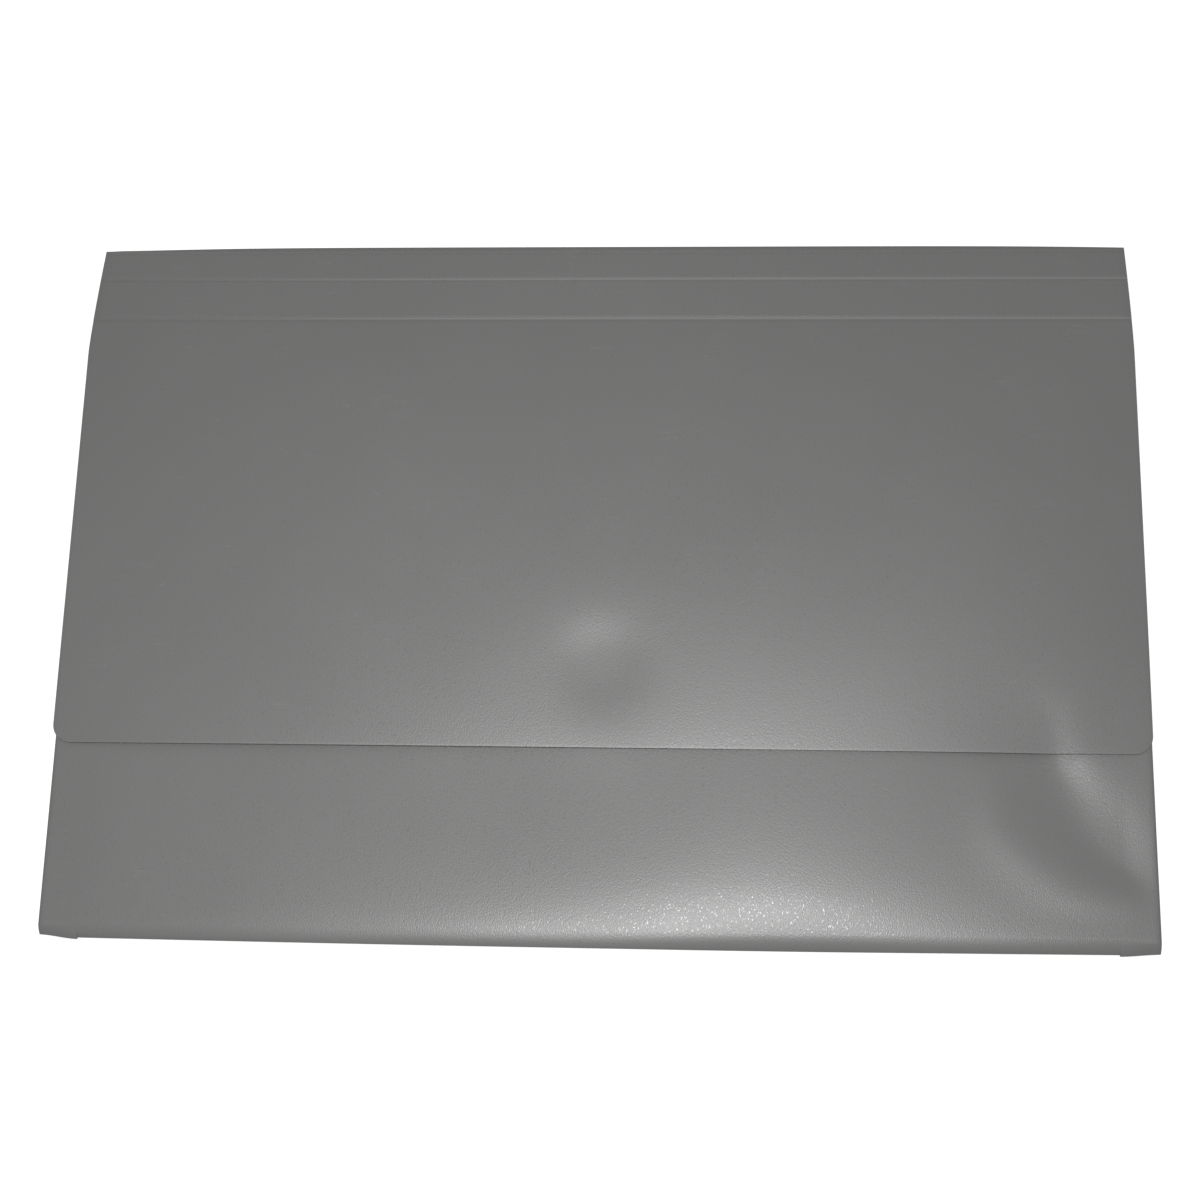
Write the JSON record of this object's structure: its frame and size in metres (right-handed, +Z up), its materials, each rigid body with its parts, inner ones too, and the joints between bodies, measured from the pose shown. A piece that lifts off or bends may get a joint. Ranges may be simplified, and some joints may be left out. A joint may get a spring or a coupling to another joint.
{
  "type": "document wallet",
  "caption": "Flat grey plastic document wallet with a deep fold-over flap, scored spine, folded side gussets and a hidden hook-and-loop fastener.",
  "frame": {"origin": "centre of the wallet's outline on the plane it lies on, under the back panel", "axes": "+X across the wallet to its right, +Y towards the top fold, +Z up out of the front"},
  "size_m": [0.355, 0.24, 0.0116],
  "materials": {
    "sheet": "fine embossed satin polypropylene",
    "scored_sheet": "pressed crease, slightly paler and smoother",
    "hook_and_loop": "woven nylon tape with hooks or loops",
    "adhesive": "soft acrylic adhesive"
  },
  "bodies": {
    "back": {"back_panel": "sheet", "top_fold": "sheet", "left_gusset_tab": "sheet", "right_gusset_tab": "sheet", "left_gusset_outer_fold": "scored_sheet", "right_gusset_outer_fold": "scored_sheet", "base_rear_crease": "scored_sheet", "top_crease": "scored_sheet"},
    "base": {"base_strip": "sheet", "base_front_crease": "scored_sheet"},
    "front": {"front_panel": "sheet", "bottom_fold": "sheet", "front_left_fold": "sheet", "front_right_fold": "sheet", "loop_adhesive": "adhesive", "loop_coin": "hook_and_loop"},
    "left_rear_leaf": {"left_gusset_rear_leaf": "sheet", "left_gusset_inner_fold": "scored_sheet"},
    "left_front_leaf": {"left_gusset_front_leaf": "sheet"},
    "right_rear_leaf": {"right_gusset_rear_leaf": "sheet", "right_gusset_inner_fold": "scored_sheet"},
    "right_front_leaf": {"right_gusset_front_leaf": "sheet"},
    "spine_rear": {"spine_rear_strip": "sheet", "upper_score": "scored_sheet"},
    "spine_front": {"spine_front_strip": "sheet", "lower_score": "scored_sheet"},
    "flap": {"flap": "sheet", "hook_adhesive": "adhesive", "hook_coin": "hook_and_loop"}
  },
  "joints": [
    {"name": "base_rise", "type": "hinge", "parent": "back", "child": "base", "pos_m": [0, -0.0895, 0.0004], "axis": [-1, 0, 0], "range_deg": [0, 90], "deforming": ["base_rear_crease"]},
    {"name": "front_level", "type": "hinge", "parent": "base", "child": "front", "pos_m": [0, -0.1143, 0.0004], "axis": [-1, 0, 0], "range_deg": [-90, 0], "deforming": ["base_front_crease"]},
    {"name": "spine_rise", "type": "hinge", "parent": "back", "child": "spine_rear", "pos_m": [0, 0.1171, 0.007], "axis": [-1, 0, 0], "range_deg": [0, 90], "deforming": ["top_crease"]},
    {"name": "flap_open", "type": "hinge", "parent": "spine_rear", "child": "spine_front", "pos_m": [0, 0.1068, 0.0075], "axis": [-1, 0, 0], "range_deg": [0, 165], "deforming": ["upper_score"]},
    {"name": "flap_level", "type": "hinge", "parent": "spine_front", "child": "flap", "pos_m": [0, 0.0923, 0.007], "axis": [-1, 0, 0], "range_deg": [-90, 0], "deforming": ["lower_score"]},
    {"name": "left_gusset_rise", "type": "hinge", "parent": "back", "child": "left_rear_leaf", "pos_m": [-0.17605, -0.0895, 0.00345], "axis": [0, -1, 0], "range_deg": [0, 90], "deforming": ["left_gusset_outer_fold"]},
    {"name": "left_gusset_unfold", "type": "hinge", "parent": "left_rear_leaf", "child": "left_front_leaf", "pos_m": [-0.16365, -0.0895, 0.00345], "axis": [0, -1, 0], "range_deg": [-180, 0], "deforming": ["left_gusset_inner_fold"]},
    {"name": "right_gusset_rise", "type": "hinge", "parent": "back", "child": "right_rear_leaf", "pos_m": [0.17605, -0.0895, 0.00345], "axis": [0, 1, 0], "range_deg": [0, 90], "deforming": ["right_gusset_outer_fold"]},
    {"name": "right_gusset_unfold", "type": "hinge", "parent": "right_rear_leaf", "child": "right_front_leaf", "pos_m": [0.16365, -0.0895, 0.00345], "axis": [0, 1, 0], "range_deg": [-180, 0], "deforming": ["right_gusset_inner_fold"]}
  ],
  "couplings": [
    {"joint": "front_level", "follows": "base_rise", "ratio": -1},
    {"joint": "spine_rise", "follows": "base_rise", "ratio": 1},
    {"joint": "flap_level", "follows": "base_rise", "ratio": -1},
    {"joint": "left_gusset_rise", "follows": "base_rise", "ratio": 1},
    {"joint": "left_gusset_unfold", "follows": "base_rise", "ratio": -2},
    {"joint": "right_gusset_rise", "follows": "base_rise", "ratio": 1},
    {"joint": "right_gusset_unfold", "follows": "base_rise", "ratio": -2}
  ]
}
